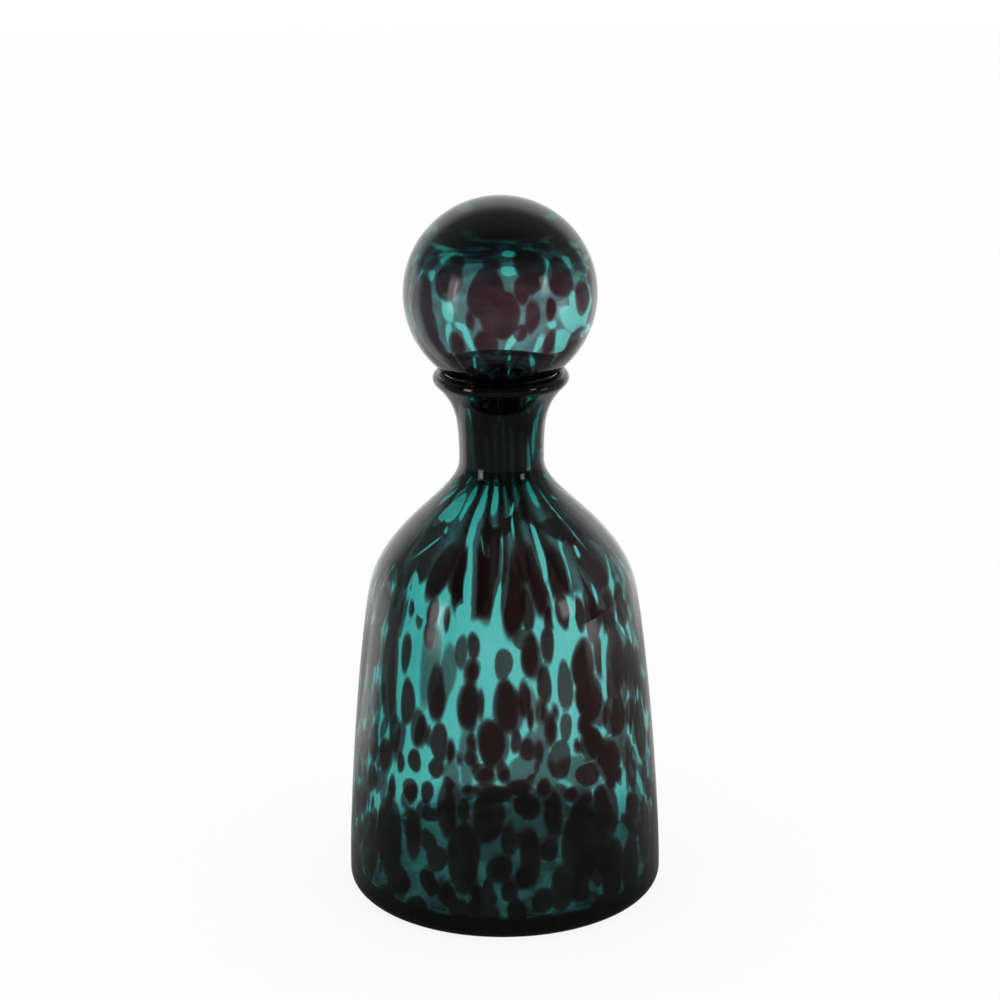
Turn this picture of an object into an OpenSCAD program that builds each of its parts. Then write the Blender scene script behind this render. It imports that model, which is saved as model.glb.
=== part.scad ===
// Decorative blown glass bottle with a hollow ball stopper.
// Millimetres, +Z up. The origin is on the bottle's axis, at the face that the bottle rests on.
// Both pieces are bodies of revolution: each profile is one closed outline of curves and arcs.

/* [Bottle body] */
// Diameter at the widest part, just above the heel
body_d = 150; // [145:1:156]
// Radius of the rounded heel
heel_r = 6; // [4:0.5:9]
// Diameter where the long side ends and the shoulder begins
side_top_d = 128.8; // [124:0.2:132]
// Height of the long side, from the top of the heel
side_l = 132.5; // [106:0.5:159]
// Inward lean of the side at its top, in degrees
side_lean = 8.6; // [6:0.2:11]
// Diameter where the profile turns from the round shoulder to the hollow neck
shoulder_d = 98.5; // [94:0.5:102]
// Height of the round shoulder, from the top of the side to that turning point
shoulder_l = 35; // [29:0.5:41]
// Lean of the profile at that point, in degrees from the vertical
shoulder_lean = 40.2; // [36:0.2:46]

/* [Neck and lip] */
// Diameter at the narrowest part of the neck
waist_d = 39.5; // [37:0.5:44]
// Height of the hollow foot of the neck, from the turning point to the narrowest part
neck_foot_l = 36.5; // [30:0.5:42]
// Height of the neck, from its narrowest part to the top of the lip
neck_l = 42; // [37:0.5:48]
// Outer diameter of the flared lip
lip_d = 63; // [61:0.5:66]
// Thickness of the lip, which is rounded over its full thickness
lip_t = 6.8; // [6:0.1:7.4]
// Outward lean of the flare where it meets the lip, in degrees
flare_lean = 44.5; // [40:0.5:48]

/* [Glass thickness] */
// Wall of the body
wall = 4.5; // [3.5:0.1:5.5]
// Wall at the shoulder, where the glass gathers towards the neck
shoulder_wall = 5; // [4.2:0.1:6]
// Thickness of the base over the foot ring
base_t = 8.5; // [6.5:0.5:11]
// Radius of the corner between the wall and the floor inside
floor_corner_r = 3.5; // [2.5:0.5:6]
// How far the floor inside is domed at its middle
floor_dome = 1.5; // [0.75:0.25:3]
// How far the underside is pushed up at its middle
kick_h = 2.5; // [1.5:0.25:3.5]
// Width of the flat foot ring
foot_ring_w = 8; // [5:0.5:11]

/* [Ground joint] */
// Diameter of the bore at the top of the ground joint
joint_top_d = 26.4; // [25.6:0.1:27.6]
// How much narrower the bore is at the bottom of the joint
joint_taper = 2.4; // [1.6:0.1:3.6]
// Depth of the top of the ground joint below the lip
joint_depth = 17.5; // [15:0.5:21]
// Length of the ground joint
joint_l = 32; // [26:0.5:34]
// Gap all round between the plug and the bore
joint_gap = 0.08; // [0.05:0.01:0.15]

/* [Stopper] */
// Diameter of the ball
ball_d = 89; // [86:0.5:92]
// Wall of the ball round its middle
ball_wall = 4.2; // [3.4:0.1:5]
// Thickness of the ball's crown, under which its hollow is flattened
ball_crown_t = 13.5; // [8:0.5:16]
// Gap between the ball and the rounded lip that it nests in
ball_gap = 0.3; // [0.2:0.05:0.6]
// Radius of the fillet where the plug runs into the ball
plug_fillet_r = 2; // [1:0.25:2.5]
// Length of the plug below the ground joint
plug_tail_l = 4; // [2:0.5:6]
// Radius of the plug's rounded open end
plug_end_r = 1.2; // [0.6:0.1:1.6]
// Diameter of the bore through the plug, left by the blowpipe
plug_bore_d = 13; // [10:0.5:15]
// Radius of the rounded edge where that bore opens into the ball
bore_mouth_r = 3; // [1:0.5:4]

/* [Hidden] */

// Reach of the curves at each end of the side, the shoulder, the hollow neck and the flare
side_low_reach = 27;
side_high_reach = 39;
shoulder_low_reach = 14.4;
shoulder_high_reach = 17.6;
neck_low_reach = 19.8;
neck_high_reach = 11.5;
flare_low_reach = 20.5;
flare_high_reach = 13.5;
// Reach of the curves inside: out of the shoulder, into the bore, and from the bore to the lip
throat_low_reach = 20;
throat_high_reach = 6;
mouth_low_reach = 5;
mouth_high_reach = 11;
// Pieces that a curve is drawn with, and the largest turn between two points of an arc
curve_steps = 14;
arc_step = 5;
quarter_turn = 90;
half_turn = 2 * quarter_turn;
full_turn = 2 * half_turn;

// Heights, each piece of the profile standing on the one below
side_top_h = heel_r + side_l;
shoulder_h = side_top_h + shoulder_l;
waist_h = shoulder_h + neck_foot_l;
lip_h = waist_h + neck_l;
joint_top_h = lip_h - joint_depth;
joint_end_h = joint_top_h - joint_l;
plug_end_h = joint_end_h - plug_tail_l;

body_r = body_d / 2;
waist_r = waist_d / 2;
lip_r = lip_t / 2;
lip_at = [lip_d / 2 - lip_r, lip_h - lip_r];
joint_top_r = joint_top_d / 2;
joint_end_r = (joint_top_d - joint_taper) / 2;
ball_r = ball_d / 2;
ball_hollow_r = ball_r - ball_wall;
ball_hollow_rise = ball_r - ball_crown_t;
plug_top_r = joint_top_r - joint_gap;
plug_low_r = joint_end_r - joint_gap;
plug_bore_r = plug_bore_d / 2;

// Point at a distance from another, along a direction leaning in from the vertical
function along(p, lean, reach) = p + reach * [-sin(lean), cos(lean)];
// Point at a depth inside a profile that leans in from the vertical there
function inside(p, lean, depth) = p - depth * [cos(lean), sin(lean)];
// Height of a circle's upper crossing with a vertical line
function rise(r, x) = sqrt(r * r - x * x);

// Cubic curve from a to d that starts towards b and arrives from c, without its first point
function curve(a, b, c, d) = [
    for (i = [1 : curve_steps]) let (t = i / curve_steps, u = 1 - t)
        u * u * u * a + 3 * t * u * u * b + 3 * t * t * u * c + t * t * t * d
];
// Stretch of an upright oval about a centre, from one angle to another, with both its ends
function oval(centre, half, from, to) =
    let (steps = max(2, ceil(abs(to - from) / arc_step)))
    [for (i = [0 : steps]) let (a = from + (to - from) * i / steps)
        centre + [half.x * cos(a), half.y * sin(a)]];
function arc(centre, r, from, to) = oval(centre, [r, r], from, to);
// Shallow dome from its rim to the axis: the arc through the rim point and the risen middle
function dome(rim_r, rim_h, rise_h) =
    let (r = (rim_r * rim_r + rise_h * rise_h) / (2 * rise_h), half = asin(rim_r / r))
    arc([0, rim_h + rise_h - r], r, quarter_turn - half, quarter_turn);
function reversed(points) = [for (i = [len(points) - 1 : -1 : 0]) points[i]];

// Turning points of the outside, and the same points on the inside of the glass
side_top = [side_top_d / 2, side_top_h];
shoulder = [shoulder_d / 2, shoulder_h];
waist = [waist_r, waist_h];
side_top_in = inside(side_top, side_lean, wall);
shoulder_in = inside(shoulder, shoulder_lean, shoulder_wall);
lip_under = lip_at + lip_r * [cos(flare_lean), -sin(flare_lean)];
lip_over = lip_at - lip_r * [cos(flare_lean), -sin(flare_lean)];

// Outside of the bottle, from the foot ring up to the underside of the lip
function bottle_outside() =
    let (heel = [body_r, heel_r])
    concat(
        arc([body_r - heel_r, heel_r], heel_r, -quarter_turn, 0),
        curve(heel, along(heel, 0, side_low_reach),
              along(side_top, side_lean, -side_high_reach), side_top),
        curve(side_top, along(side_top, side_lean, shoulder_low_reach),
              along(shoulder, shoulder_lean, -shoulder_high_reach), shoulder),
        curve(shoulder, along(shoulder, shoulder_lean, neck_low_reach),
              along(waist, 0, -neck_high_reach), waist),
        curve(waist, along(waist, 0, flare_low_reach),
              along(lip_under, -flare_lean, -flare_high_reach), lip_under)
    );

// Inside of the bottle, from the domed floor up through the ground bore to the top of the lip
function bottle_inside() =
    let (corner_at = [body_r - wall - floor_corner_r, base_t + floor_corner_r],
         wall_foot = [body_r - wall, base_t + floor_corner_r],
         bore_end = [joint_end_r, joint_end_h], bore_top = [joint_top_r, joint_top_h])
    concat(
        reversed(dome(corner_at[0], base_t, floor_dome)),
        arc(corner_at, floor_corner_r, -quarter_turn + arc_step, 0),
        curve(wall_foot, along(wall_foot, 0, side_low_reach),
              along(side_top_in, side_lean, -side_high_reach), side_top_in),
        curve(side_top_in, along(side_top_in, side_lean, shoulder_low_reach),
              along(shoulder_in, shoulder_lean, -shoulder_high_reach), shoulder_in),
        curve(shoulder_in, along(shoulder_in, shoulder_lean, throat_low_reach),
              along(bore_end, 0, -throat_high_reach), bore_end),
        [bore_top],
        curve(bore_top, along(bore_top, 0, mouth_low_reach),
              along(lip_over, -flare_lean, -mouth_high_reach), lip_over)
    );

// Blown bottle: thick pushed-up base on a flat foot ring, leaning sides, round shoulder, hollow
// waisted neck with a ground bore, and a flared lip rounded over
module bottle() {
    lip_edge = arc(lip_at, lip_r, half_turn - flare_lean - arc_step, -flare_lean + arc_step);
    kick = dome(body_r - heel_r - foot_ring_w, 0, kick_h);
    color("darkslategray", 0.8)
        rotate_extrude(angle = full_turn)
            polygon(concat(bottle_inside(), lip_edge, reversed(bottle_outside()), kick));
}

// Stopper: a hollow blown ball on a tapered plug that is ground to the bore of the neck. The
// hollow is round below and flattened above, where the glass gathers into a thick crown.
// The ball nests in the flared lip, so its height follows from the lip and the gap.
module stopper() {
    nest_r = ball_r + lip_r + ball_gap;
    ball_at = [0, lip_at[1] + rise(nest_r, lip_at[0])];
    fillet_x = plug_top_r + plug_fillet_r;
    fillet_at = [fillet_x, ball_at[1] - rise(ball_r + plug_fillet_r, fillet_x)];
    fillet_turn = asin(fillet_x / (ball_r + plug_fillet_r));
    mouth_x = plug_bore_r + bore_mouth_r;
    mouth_at = [mouth_x, ball_at[1] - rise(ball_hollow_r + bore_mouth_r, mouth_x)];
    mouth_turn = asin(mouth_x / (ball_hollow_r + bore_mouth_r));
    outside = concat(
        arc([plug_low_r - plug_end_r, plug_end_h + plug_end_r], plug_end_r, -quarter_turn, 0),
        [[plug_low_r, joint_end_h], [plug_top_r, joint_top_h]],
        arc(fillet_at, plug_fillet_r, half_turn, quarter_turn + fillet_turn),
        arc(ball_at, ball_r, fillet_turn + arc_step - quarter_turn, quarter_turn)
    );
    hollow = concat(
        oval(ball_at, [ball_hollow_r, ball_hollow_rise], quarter_turn, 0),
        arc(ball_at, ball_hollow_r, -arc_step, mouth_turn - quarter_turn),
        arc(mouth_at, bore_mouth_r, quarter_turn + mouth_turn + arc_step, half_turn),
        arc([plug_bore_r + plug_end_r, plug_end_h + plug_end_r], plug_end_r, -half_turn,
            -quarter_turn - arc_step)
    );
    color("darkcyan", 0.8)
        rotate_extrude(angle = full_turn)
            polygon(concat(outside, hollow));
}

bottle();
stopper();
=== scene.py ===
# Looks of a blown glass bottle with a ball stopper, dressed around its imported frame.
# Metres, +Z up, in the frame's own place. Names ending in _mm, and the points of the profiles, are in
# millimetres.
import math
import bpy
import numpy as np
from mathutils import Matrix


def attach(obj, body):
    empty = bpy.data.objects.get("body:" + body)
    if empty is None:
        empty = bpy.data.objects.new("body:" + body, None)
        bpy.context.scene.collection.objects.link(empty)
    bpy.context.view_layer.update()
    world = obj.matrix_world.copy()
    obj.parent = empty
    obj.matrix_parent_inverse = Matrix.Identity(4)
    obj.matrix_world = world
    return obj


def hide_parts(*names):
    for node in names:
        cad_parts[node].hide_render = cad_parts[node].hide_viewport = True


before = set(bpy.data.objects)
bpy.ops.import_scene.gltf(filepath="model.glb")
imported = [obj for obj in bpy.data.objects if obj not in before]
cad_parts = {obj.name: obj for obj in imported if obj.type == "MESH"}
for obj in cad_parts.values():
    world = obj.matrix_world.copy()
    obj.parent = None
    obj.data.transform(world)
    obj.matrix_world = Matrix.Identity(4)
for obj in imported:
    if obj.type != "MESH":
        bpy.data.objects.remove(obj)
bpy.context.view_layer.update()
MM = 0.001

# Camera: the photograph's view, a long lens that looks down a little on a bottle that fills the
# picture from the floor to the ball. The small roll and side shift follow the bottle's own lean.
photo_px = 1000
focal_px = 2440
tilt_deg = 16.88
roll_deg = 0.5
camera_back_mm = 1089.3
camera_up_mm = 520
camera_left_mm = 0.9
nearest_seen_mm = 100
lens = bpy.data.cameras.new("photo_lens")
lens.lens = lens.sensor_width * focal_px / photo_px
lens.clip_start = nearest_seen_mm * MM
camera = bpy.data.objects.new("photo_camera", lens)
camera.location = (-camera_left_mm * MM, -camera_back_mm * MM, camera_up_mm * MM)
camera.rotation_euler = (math.radians(90 - tilt_deg), 0, 0)
camera.rotation_euler.rotate_axis("Z", math.radians(-roll_deg))
bpy.context.scene.collection.objects.link(camera)
bpy.context.scene.camera = camera


# Studio: a plain pale floor and a white surround. Glass is all reflections and what shows through,
# so the surround is white for rays that pass through it, and for rays that it mirrors it falls from
# pale at the back to dark around the camera, as in a studio with a white sweep behind the bottle.
def add(tree, kind, *inputs, named=None, **settings):
    """One shader node: its own settings, and its inputs in order or by name. Each input is a value, an
    output of another node, or another node, whose first output in use is linked; None leaves it."""
    made = tree.nodes.new(kind)
    for name, value in settings.items():
        setattr(made, name, value)
    for place, value in [*enumerate(inputs), *(named or {}).items()]:
        if isinstance(value, bpy.types.Node):
            value = next(output for output in value.outputs if output.enabled)
        if isinstance(value, bpy.types.NodeSocket):
            tree.links.new(value, made.inputs[place])
        elif value is not None:
            made.inputs[place].default_value = value
    return made


def empty_tree(owner):
    """The owner's own shader tree, emptied."""
    owner.use_nodes = True
    owner.node_tree.nodes.clear()
    return owner.node_tree


def hex_colour(code):
    """An sRGB hex colour as linear values with alpha."""
    srgb = np.array([int(code[k:k + 2], 16) / 255 for k in (1, 3, 5)])
    linear = np.where(srgb <= 0.04045, srgb / 12.92, ((srgb + 0.055) / 1.055) ** 2.4)
    return (*linear.tolist(), 1)


white = hex_colour("#ffffff")
smooth = {"interpolation_type": "SMOOTHSTEP"}
sky_light = 0.9
# How bright the gloss shows the studio in front, at the sides and at the back, and where along the
# view, from -1 in front to 1 at the back, one passes into the next
mirrored_front, mirrored_side, mirrored_back = 0.06, 0.26, 1.0
front_to, side_to, back_from = -0.5, 0.5, 0.8


def studio_in_mirror(tree, forward):
    """How bright the studio looks in the gloss: dark around the camera, dim at the sides, and white
    where the mirrored ray heads for the sweep, by the ray's share along the view."""
    gain = mirrored_back - mirrored_side
    ends = (mirrored_front, mirrored_side)
    sides = add(tree, "ShaderNodeMapRange", forward, front_to, side_to, *ends, **smooth)
    back = add(tree, "ShaderNodeMapRange", forward, side_to, back_from, 0, gain, **smooth)
    return add(tree, "ShaderNodeMath", sides, back, operation="ADD")


tree = empty_tree(bpy.data.worlds.new("studio_surround"))
bpy.context.scene.world = bpy.data.worlds["studio_surround"]
path = add(tree, "ShaderNodeLightPath").outputs
heading = add(tree, "ShaderNodeTexCoord").outputs["Generated"]
mirrored = studio_in_mirror(tree, add(tree, "ShaderNodeSeparateXYZ", heading).outputs["Y"])

# Tall soft lamps that only the gloss shows, left and right of the camera at the bottle's height, the
# tube in the middle of the left one, and the sweep where it comes round at the left: azimuth to the
# left, elevation, half width, half height in degrees, and brightness. A lamp is at its full brightness
# over the core's share of its half size.
lamp_core_share, lamp_side_from = 0.4, 0.3
lamps = ((57, 9, 10, 18, 2.4), (55, 9, 2, 14, 3.0), (-56, 15, 7, 11, 2.8), (122, 0, 18, 10, 0.8))


def azimuth_glow(tree, heading, azimuth_deg, half_deg):
    """1 where a heading points to within a lamp's width, easing to 0 at its sides, and 0 behind."""
    azimuth, half = math.radians(azimuth_deg), math.radians(half_deg)
    ahead = (-math.sin(azimuth), -math.cos(azimuth), 0)
    across = (-math.cos(azimuth), math.sin(azimuth), 0)
    off = add(tree, "ShaderNodeVectorMath", heading, across, operation="DOT_PRODUCT")
    off = add(tree, "ShaderNodeMath", off, operation="ABSOLUTE")
    within = add(tree, "ShaderNodeMapRange", off, lamp_core_share * half, half, 1, 0, **smooth)
    facing = add(tree, "ShaderNodeVectorMath", heading, ahead, operation="DOT_PRODUCT")
    facing = add(tree, "ShaderNodeMath", facing, lamp_side_from, operation="GREATER_THAN")
    return add(tree, "ShaderNodeMath", within, facing, operation="MULTIPLY")


for azimuth_deg, elevation_deg, half_w_deg, half_h_deg, brightness in lamps:
    level, half = math.sin(math.radians(elevation_deg)), math.radians(half_h_deg)
    off = add(tree, "ShaderNodeSeparateXYZ", heading).outputs["Z"]
    off = add(tree, "ShaderNodeMath", off, level, operation="SUBTRACT")
    off = add(tree, "ShaderNodeMath", off, operation="ABSOLUTE")
    glow = add(tree, "ShaderNodeMapRange", off, lamp_core_share * half, half, brightness, 0, **smooth)
    beam = azimuth_glow(tree, heading, azimuth_deg, half_w_deg)
    mirrored = add(tree, "ShaderNodeMath", glow, beam, mirrored, operation="MULTIPLY_ADD")
looked_at, looked_through = path["Is Camera Ray"], path["Is Transmission Ray"]
seen = add(tree, "ShaderNodeMath", looked_at, looked_through, operation="MAXIMUM")
strength = add(tree, "ShaderNodeMix", path["Is Glossy Ray"], None, sky_light, mirrored)
strength = add(tree, "ShaderNodeMix", seen, None, strength, 1.0)
background = add(tree, "ShaderNodeBackground", white, strength)
add(tree, "ShaderNodeOutputWorld", background)

floor_half_m = 4.0
bottle_r_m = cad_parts["bottle"].dimensions.x / 2
floor_mesh = bpy.data.meshes.new("floor")
corners = [(x * floor_half_m, y * floor_half_m, 0) for x, y in ((-1, -1), (1, -1), (1, 1), (-1, 1))]
floor_mesh.from_pydata(corners, [], [(0, 1, 2, 3)])
floor = bpy.data.objects.new("floor", floor_mesh)
bpy.context.scene.collection.objects.link(floor)
paper = bpy.data.materials.new("white_paper_sweep")
tree = empty_tree(paper)
path = add(tree, "ShaderNodeLightPath").outputs
place = add(tree, "ShaderNodeNewGeometry").outputs["Position"]
reach = add(tree, "ShaderNodeVectorMath", place, operation="LENGTH")
heading = add(tree, "ShaderNodeVectorMath", place, operation="NORMALIZE")
forward = add(tree, "ShaderNodeSeparateXYZ", heading).outputs["Y"]
# Painted shadow: for rays through the glass the paper's glow is dark under the bottle, where little light
# would reach it, and past its foot the paper brightens to white
painted_shadow_under_bottle = 0.04
dark_to_m, white_from_m = 0.9 * bottle_r_m, 1.7 * bottle_r_m
through = add(tree, "ShaderNodeMapRange", reach, dark_to_m, white_from_m, painted_shadow_under_bottle, 1.0, **smooth)
# Painted shade in the paper's reflection: the gloss shows the paper dark in front, as the studio falls
# off, and greyer near the bottle than at the far end of the sweep,
painted_shade_near_bottle, grey_to_m, pale_from_m = 0.42, 0.36, 0.66
table = add(tree, "ShaderNodeMapRange", reach, grey_to_m, pale_from_m, painted_shade_near_bottle, 1.0, **smooth)
mirrored = add(tree, "ShaderNodeMath", studio_in_mirror(tree, forward), table, operation="MULTIPLY")
# and painted light where the lamps' light would fall on it, and at the left where the sweep comes
# round: azimuth and half width in degrees, brightness, and the reach in metres where it starts and
# where it is full
painted_floor_glows = ((57, 10, 2.2, 0.9, 1.8), (-76, 10, 1.6, 0.5, 1.4), (122, 18, 0.8, 0.15, 0.35))
for azimuth_deg, half_deg, brightness, from_m, to_m in painted_floor_glows:
    beam = azimuth_glow(tree, heading, azimuth_deg, half_deg)
    glow = add(tree, "ShaderNodeMapRange", reach, from_m, to_m, 0, brightness, **smooth)
    mirrored = add(tree, "ShaderNodeMath", glow, beam, mirrored, operation="MULTIPLY_ADD")
# The paper glows evenly, and its matt rest takes the shading
glow_share = 0.88
glow = add(tree, "ShaderNodeMath", path["Is Camera Ray"], glow_share, operation="MULTIPLY")
glow = add(tree, "ShaderNodeMix", path["Is Glossy Ray"], None, glow, mirrored)
glow = add(tree, "ShaderNodeMix", path["Is Transmission Ray"], None, glow, through)
emission = add(tree, "ShaderNodeEmission", white, glow)
paper_grey = 1 - glow_share
matt = add(tree, "ShaderNodeBsdfDiffuse", (paper_grey, paper_grey, paper_grey, 1))
both = add(tree, "ShaderNodeAddShader", emission, matt)
add(tree, "ShaderNodeOutputMaterial", both)
floor_mesh.materials.append(paper)


# Bottle: a blown vessel in one piece of teal glass, rolled in chips of dark amethyst glass that
# melted into its outside and stretched as it was blown. Its neck is ground inside for the plug,
# its lip is flared and rounded in the fire, and its thick base is pushed up over a foot ring.
def along(point, lean_deg, reach):
    """The point at a reach from another, along a direction that leans in from the vertical."""
    lean = math.radians(lean_deg)
    return point + reach * np.array([-math.sin(lean), math.cos(lean)])


def inside(point, lean_deg, depth):
    """The point at a depth under a profile that leans in from the vertical there."""
    lean = math.radians(lean_deg)
    return point - depth * np.array([math.cos(lean), math.sin(lean)])


def curve(a, b, c, d, steps):
    """Cubic Bezier from a to d by way of the handles b and c, without its first point."""
    t = np.linspace(0, 1, steps + 1)[1:, None]
    return (1 - t) ** 3 * a + 3 * t * (1 - t) ** 2 * b + 3 * t * t * (1 - t) * c + t ** 3 * d


def bend(a, lean_a, b, lean_b, reach, steps):
    """Profile curve that leaves a along its lean and reaches b along its own, by handles that long."""
    return curve(a, along(a, lean_a, reach[0]), along(b, lean_b, -reach[1]), b, steps)


def arc(centre, radius, start_deg, end_deg, steps):
    """Points round a centre from one angle to another, without the first."""
    turn = np.radians(np.linspace(start_deg, end_deg, steps + 1)[1:])
    return np.array(centre) + radius * np.stack([np.cos(turn), np.sin(turn)], 1)


def dome(rim_r, rim_h, rise, steps):
    """Shallow spherical arc from the axis out to its rim, which is lower by the rise."""
    radius = (rim_r ** 2 + rise ** 2) / (2 * rise)
    half_deg = math.degrees(math.asin(rim_r / radius))
    return arc((0, rim_h + rise - radius), radius, 90, 90 - half_deg, steps)


# Sizes of the profile from the foot up, as the part's source has them: radii, heights and leans
heel_r_mm, side_top_r_mm, side_l_mm, side_lean_deg = 6, 64.4, 132.5, 8.6
shoulder_r_mm, shoulder_l_mm, shoulder_lean_deg = 49.25, 35, 40.2
waist_r_mm, neck_foot_l_mm, neck_l_mm = 19.75, 36.5, 42
lip_out_r_mm, lip_r_mm, flare_lean_deg = 31.5, 3.4, 44.5
wall_mm, shoulder_wall_mm = 4.5, 5
base_t_mm, floor_corner_r_mm, floor_dome_mm, kick_mm, foot_ring_w_mm = 8.5, 3.5, 1.5, 2.5, 8
joint_top_r_mm, joint_end_r_mm, joint_depth_mm, joint_l_mm = 13.2, 12.0, 17.5, 32
# How far the handles of each curve reach from its lower and its upper end
side_reach_mm, shoulder_reach_mm, neck_foot_reach_mm = (27, 39), (14.4, 17.6), (19.8, 11.5)
flare_reach_mm, throat_reach_mm, mouth_reach_mm = (20.5, 13.5), (20, 6), (5, 11)
body_r_mm = bottle_r_m / MM
heel = np.array([body_r_mm, heel_r_mm])
side_top = np.array([side_top_r_mm, heel_r_mm + side_l_mm])
shoulder = np.array([shoulder_r_mm, side_top[1] + shoulder_l_mm])
waist = np.array([waist_r_mm, shoulder[1] + neck_foot_l_mm])
lip_h_mm = waist[1] + neck_l_mm
lip_at = np.array([lip_out_r_mm - lip_r_mm, lip_h_mm - lip_r_mm])
joint_top = np.array([joint_top_r_mm, lip_h_mm - joint_depth_mm])
joint_end = np.array([joint_end_r_mm, joint_top[1] - joint_l_mm])
flare = math.radians(flare_lean_deg)
lip_under = lip_at + lip_r_mm * np.array([math.cos(flare), -math.sin(flare)])
lip_over = 2 * lip_at - lip_under
foot_out = np.array([body_r_mm - heel_r_mm, 0])
kick_rim_mm = foot_out[0] - foot_ring_w_mm

# Rows of points along each stretch of the outside, close together where chips have to show crisply
kick_rows, heel_rows, side_rows, shoulder_rows = 8, 10, 64, 28
neck_foot_rows, neck_rows, lip_rows = 32, 20, 14
ring_step_share = 0.97
outside = np.concatenate([
    dome(kick_rim_mm, 0, kick_mm, kick_rows),
    [foot_out * ring_step_share, foot_out],
    arc((foot_out[0], heel_r_mm), heel_r_mm, -90, 0, heel_rows),
    bend(heel, 0, side_top, side_lean_deg, side_reach_mm, side_rows),
    bend(side_top, side_lean_deg, shoulder, shoulder_lean_deg, shoulder_reach_mm, shoulder_rows),
    bend(shoulder, shoulder_lean_deg, waist, 0, neck_foot_reach_mm, neck_foot_rows),
    bend(waist, 0, lip_under, -flare_lean_deg, flare_reach_mm, neck_rows),
    arc(lip_at, lip_r_mm, -flare_lean_deg, 180 - flare_lean_deg, lip_rows),
])
corner_at = (body_r_mm - wall_mm - floor_corner_r_mm, base_t_mm + floor_corner_r_mm)
wall_foot = np.array([body_r_mm - wall_mm, corner_at[1]])
side_top_in = inside(side_top, side_lean_deg, wall_mm)
shoulder_in = inside(shoulder, shoulder_lean_deg, shoulder_wall_mm)
# and fewer along the hollow, which carries none
floor_rows, corner_rows, side_in_rows, shoulder_in_rows, throat_rows, mouth_rows = 6, 6, 12, 8, 10, 8
joint_shares = (0.25, 0.75, 1)
hollow = np.concatenate([
    dome(corner_at[0], base_t_mm, floor_dome_mm, floor_rows),
    arc(corner_at, floor_corner_r_mm, -90, 0, corner_rows),
    bend(wall_foot, 0, side_top_in, side_lean_deg, side_reach_mm, side_in_rows),
    bend(side_top_in, side_lean_deg, shoulder_in, shoulder_lean_deg, shoulder_reach_mm, shoulder_in_rows),
    bend(shoulder_in, shoulder_lean_deg, joint_end, 0, throat_reach_mm, throat_rows),
    [joint_top * share + joint_end * (1 - share) for share in joint_shares],
    bend(joint_top, 0, lip_over, -flare_lean_deg, mouth_reach_mm, mouth_rows)[:-1],
])


def turns_round(around):
    """The turn of each point of a ring: even steps round the axis, from the left by way of the front."""
    return np.arange(around) * 2 * math.pi / around - math.pi / 2


def turned_shell(name, rows, poles, around):
    """Closed shell of revolution: a grid of points (radius, height), row by row from one pole over the
    outside and back along the hollow to the other pole, and turned round the axis. The outside's pole
    is the higher one where its rows come down."""
    count = len(rows)
    turn = turns_round(around)
    ring = np.stack([np.sin(turn), -np.cos(turn), np.zeros(around)], 1)
    points = rows[..., :1] * ring[None]
    points[..., 2] = rows[..., 1]
    ends = np.array([(0, 0, poles[0]), (0, 0, poles[1])])
    verts = np.concatenate([points.reshape(-1, 3), ends]) * MM
    i = np.arange(around)
    j = (i + 1) % around
    low = (np.arange(count - 1) * around)[:, None]
    quads = np.stack([low + i, low + j, low + j + around, low + i + around], -1).reshape(-1, 4)
    last = (count - 1) * around
    first_fan = np.stack([j, i, np.full(around, count * around)], 1)
    last_fan = np.stack([last + i, last + j, np.full(around, count * around + 1)], 1)
    mesh = bpy.data.meshes.new(name)
    faces = quads.tolist() + first_fan.tolist() + last_fan.tolist()
    if poles[0] > poles[1]:
        faces = [face[::-1] for face in faces]
    mesh.from_pydata(verts, [], faces)
    mesh.shade_smooth()
    piece = bpy.data.objects.new(name, mesh)
    bpy.context.scene.collection.objects.link(piece)
    return piece


def sweep_inside(aside, outer_near, inner_near, inner_far, outer_far):
    """Angle swept round the axis by a ray that crosses a hollow body: straight in the hollow, and bent
    in each wall so that its distance aside of the axis shrinks by the index of glass there."""
    in_glass = aside / glass_index
    near_wall = np.arcsin(in_glass / inner_near) - np.arcsin(in_glass / outer_near)
    far_wall = np.arcsin(in_glass / inner_far) - np.arcsin(in_glass / outer_far)
    return math.pi - np.arcsin(aside / inner_near) - np.arcsin(aside / inner_far) + near_wall + far_wall


# Bounds that keep a traced ray within the glass that it meets, in shares of what bounds it
aside_most_share, far_least_share, far_hollow_least_share = 0.9, 1.2, 1.05
fall_rounds = 5


def seen_through_bottle(turn, height):
    """Where the camera sees the far wall through a point of the near wall: the near turn carried round
    the axis by sweep_inside, on the ray's side, and the near height less the ray's fall, which is the
    length of its way at the slope that it comes in at. The far radius depends on the fall, so the two
    are worked out in a few rounds."""
    near = bottle_radius(height)
    point = np.stack([near * np.sin(turn), -near * np.cos(turn), height], -1)
    ray = point - eye_mm
    flat = np.hypot(ray[:, 0], ray[:, 1])
    side = (eye_mm[0] * ray[:, 1] - eye_mm[1] * ray[:, 0]) / flat
    aside = np.minimum(np.abs(side), aside_most_share * (near - wall_mm))
    far = near
    for again in range(fall_rounds):
        fall = (np.sqrt(near ** 2 - aside ** 2) + np.sqrt(far ** 2 - aside ** 2)) * ray[:, 2] / flat
        far = np.maximum(bottle_radius(height + fall), aside * far_least_share)
    far_hollow = np.maximum(far - wall_mm, aside * far_hollow_least_share)
    sweep = sweep_inside(aside, near, near - wall_mm, far_hollow, far)
    return turn + np.sign(side) * sweep, height + fall


def turned(angle):
    """The same angle, within half a turn of zero."""
    return (angle + math.pi) % (2 * math.pi) - math.pi


# A far patch's width is kept within these shares of the near one's, its length is never nothing, and
# its slant is kept within a bound
patch_least_share, patch_most_share, patch_extra_mm, patch_most_drift_deg = 0.6, 2.5, 0.1, 30


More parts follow.
